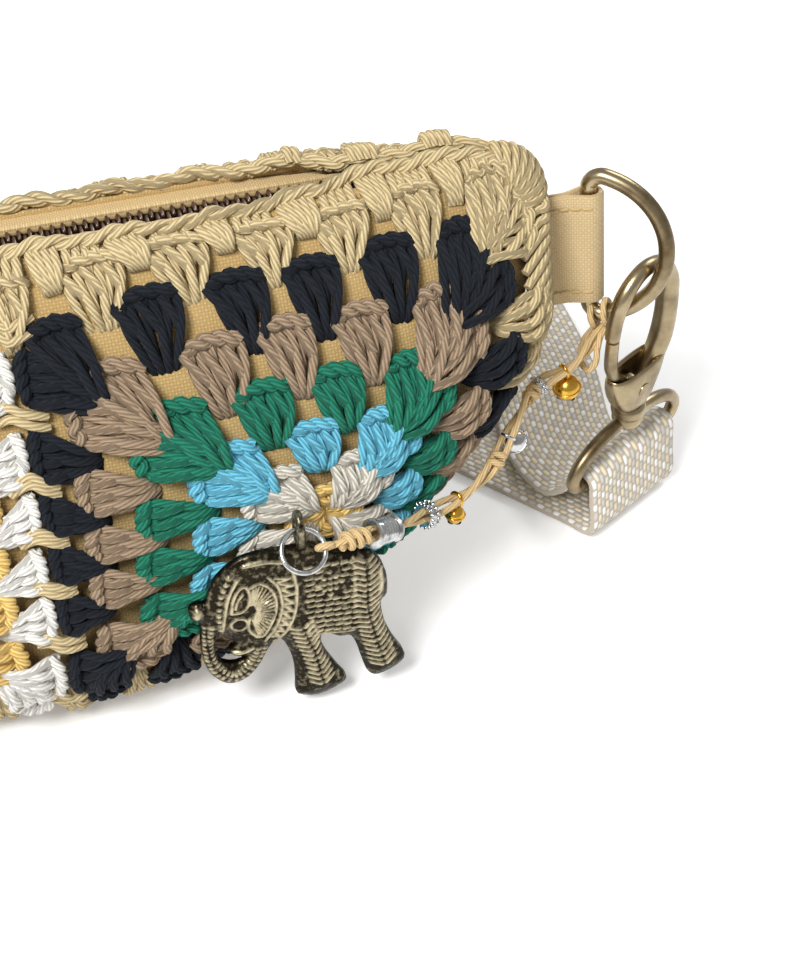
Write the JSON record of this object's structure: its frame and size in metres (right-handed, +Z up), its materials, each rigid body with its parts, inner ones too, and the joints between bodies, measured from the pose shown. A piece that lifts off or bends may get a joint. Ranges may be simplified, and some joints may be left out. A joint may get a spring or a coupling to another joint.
{
  "type": "crossbody bag",
  "caption": "Stuffed half-moon crossbody bag with crocheted granny-square panels, a metal zip, end tabs with D-rings, swivel hooks on a webbing strap and a corded elephant charm.",
  "frame": {"origin": "floor point under the middle of the bag, on the flat it rests on", "axes": "+X to the end with the charm, -Y to the front, +Z up"},
  "size_m": [0.3346, 0.1664, 0.114],
  "materials": {
    "beige_yarn": "twisted cotton yarn, crochet",
    "navy_yarn": "twisted cotton yarn, crochet",
    "white_yarn": "twisted cotton yarn, crochet",
    "canvas": "woven canvas",
    "lining": "plain woven lining",
    "copper": "dark antique copper",
    "brass": "antique brushed brass",
    "bronze": "blackened cast bronze",
    "silver": "bright plated",
    "gold": "bright gold plated",
    "cord": "waxed cotton cord",
    "webbing": "coarse checked webbing"
  },
  "bodies": {
    "bag": {"crochet_front_right": "navy_yarn", "crochet_front_left": "white_yarn", "crochet_back_right": "navy_yarn", "crochet_back_left": "white_yarn", "joining_edge": "beige_yarn", "top_border_front": "beige_yarn", "top_border_back": "beige_yarn", "canvas_pouch": "canvas", "lining": "lining", "zip_tape_front": "canvas", "zip_tape_back": "canvas", "zip_teeth_front": "copper", "zip_teeth_back": "copper", "zip_stop_right": "copper", "zip_stop_left_front": "copper", "zip_stop_left_back": "copper", "tab_right": "canvas", "strap_rear_leg_right": "webbing", "strap_floor_leg_right": "webbing", "tab_left": "canvas", "strap_rear_leg_left": "webbing", "strap_floor_leg_left": "webbing", "strap_adjuster": "brass", "strap_back": "webbing", "charm_cord": "cord", "charm_jump_ring": "silver", "bell_gold_large": "gold", "bead_spacer": "silver", "bell_silver": "silver", "bell_gold_small": "gold", "bead_dotted": "silver", "bead_tube": "silver"},
    "slider": {"zip_slider": "copper"},
    "pull": {"zip_pull": "copper"},
    "ring_right": {"d_ring_right": "brass"},
    "hook_right": {"hook_right": "brass", "gate_rivet_right": "brass"},
    "gate_right": {"hook_gate_right": "brass"},
    "bail_right": {"swivel_bail_right": "brass", "strap_wrap_right": "webbing"},
    "ring_left": {"d_ring_left": "brass"},
    "hook_left": {"hook_left": "brass", "gate_rivet_left": "brass"},
    "gate_left": {"hook_gate_left": "brass"},
    "bail_left": {"swivel_bail_left": "brass", "strap_wrap_left": "webbing"},
    "elephant": {"elephant_charm": "bronze"}
  },
  "joints": [
    {"name": "zip_run", "type": "slide", "parent": "bag", "child": "slider", "axis": [1, 0, 0], "range_m": [0, 0.115]},
    {"name": "zip_pull_lift", "type": "hinge", "parent": "slider", "child": "pull", "pos_m": [-0.066, 0.02074, 0.11215], "axis": [0, -1, 0], "range_deg": [0, 120]},
    {"name": "ring_swing_right", "type": "hinge", "parent": "bag", "child": "ring_right", "pos_m": [0.1362, 0.01612, 0.0845], "axis": [0, 0.1874, 0.9823], "range_deg": [-20, 35], "deforming": ["strap_rear_leg_right", "strap_floor_leg_right", "charm_cord"]},
    {"name": "hook_swing_right", "type": "hinge", "parent": "ring_right", "child": "hook_right", "pos_m": [0.14599, 0.00681, 0.07232], "axis": [0.6351, -0.3185, 0.7038], "range_deg": [-12, 12], "deforming": ["strap_rear_leg_right", "strap_floor_leg_right", "charm_cord"]},
    {"name": "gate_open_right", "type": "hinge", "parent": "hook_right", "child": "gate_right", "pos_m": [0.14854, 0.01172, 0.04327], "axis": [-0.4988, 0.864, 0.068], "range_deg": [0, 20], "stiffness_Nm_per_rad": 0.02},
    {"name": "swivel_right", "type": "hinge", "parent": "hook_right", "child": "bail_right", "pos_m": [0.14868, 0.01256, 0.0337], "axis": [-0.015, -0.087, 0.9961], "continuous": true, "deforming": ["strap_rear_leg_right", "strap_floor_leg_right"]},
    {"name": "ring_swing_left", "type": "hinge", "parent": "bag", "child": "ring_left", "pos_m": [-0.1362, 0.01612, 0.0845], "axis": [0, -0.1874, -0.9823], "range_deg": [-20, 35], "deforming": ["strap_rear_leg_left", "strap_floor_leg_left"]},
    {"name": "hook_swing_left", "type": "hinge", "parent": "ring_left", "child": "hook_left", "pos_m": [-0.14599, 0.00681, 0.07232], "axis": [0.6351, 0.3185, -0.7038], "range_deg": [-12, 12], "deforming": ["strap_rear_leg_left", "strap_floor_leg_left"]},
    {"name": "gate_open_left", "type": "hinge", "parent": "hook_left", "child": "gate_left", "pos_m": [-0.14854, 0.01172, 0.04327], "axis": [-0.4988, -0.864, -0.068], "range_deg": [0, 20], "stiffness_Nm_per_rad": 0.02},
    {"name": "swivel_left", "type": "hinge", "parent": "hook_left", "child": "bail_left", "pos_m": [-0.14868, 0.01256, 0.0337], "axis": [-0.015, 0.087, -0.9961], "continuous": true, "deforming": ["strap_rear_leg_left", "strap_floor_leg_left"]},
    {"name": "elephant_swing", "type": "hinge", "parent": "bag", "child": "elephant", "pos_m": [0.0542, -0.03, 0.057], "axis": [0, 1, 0], "range_deg": [-6, 12]}
  ]
}
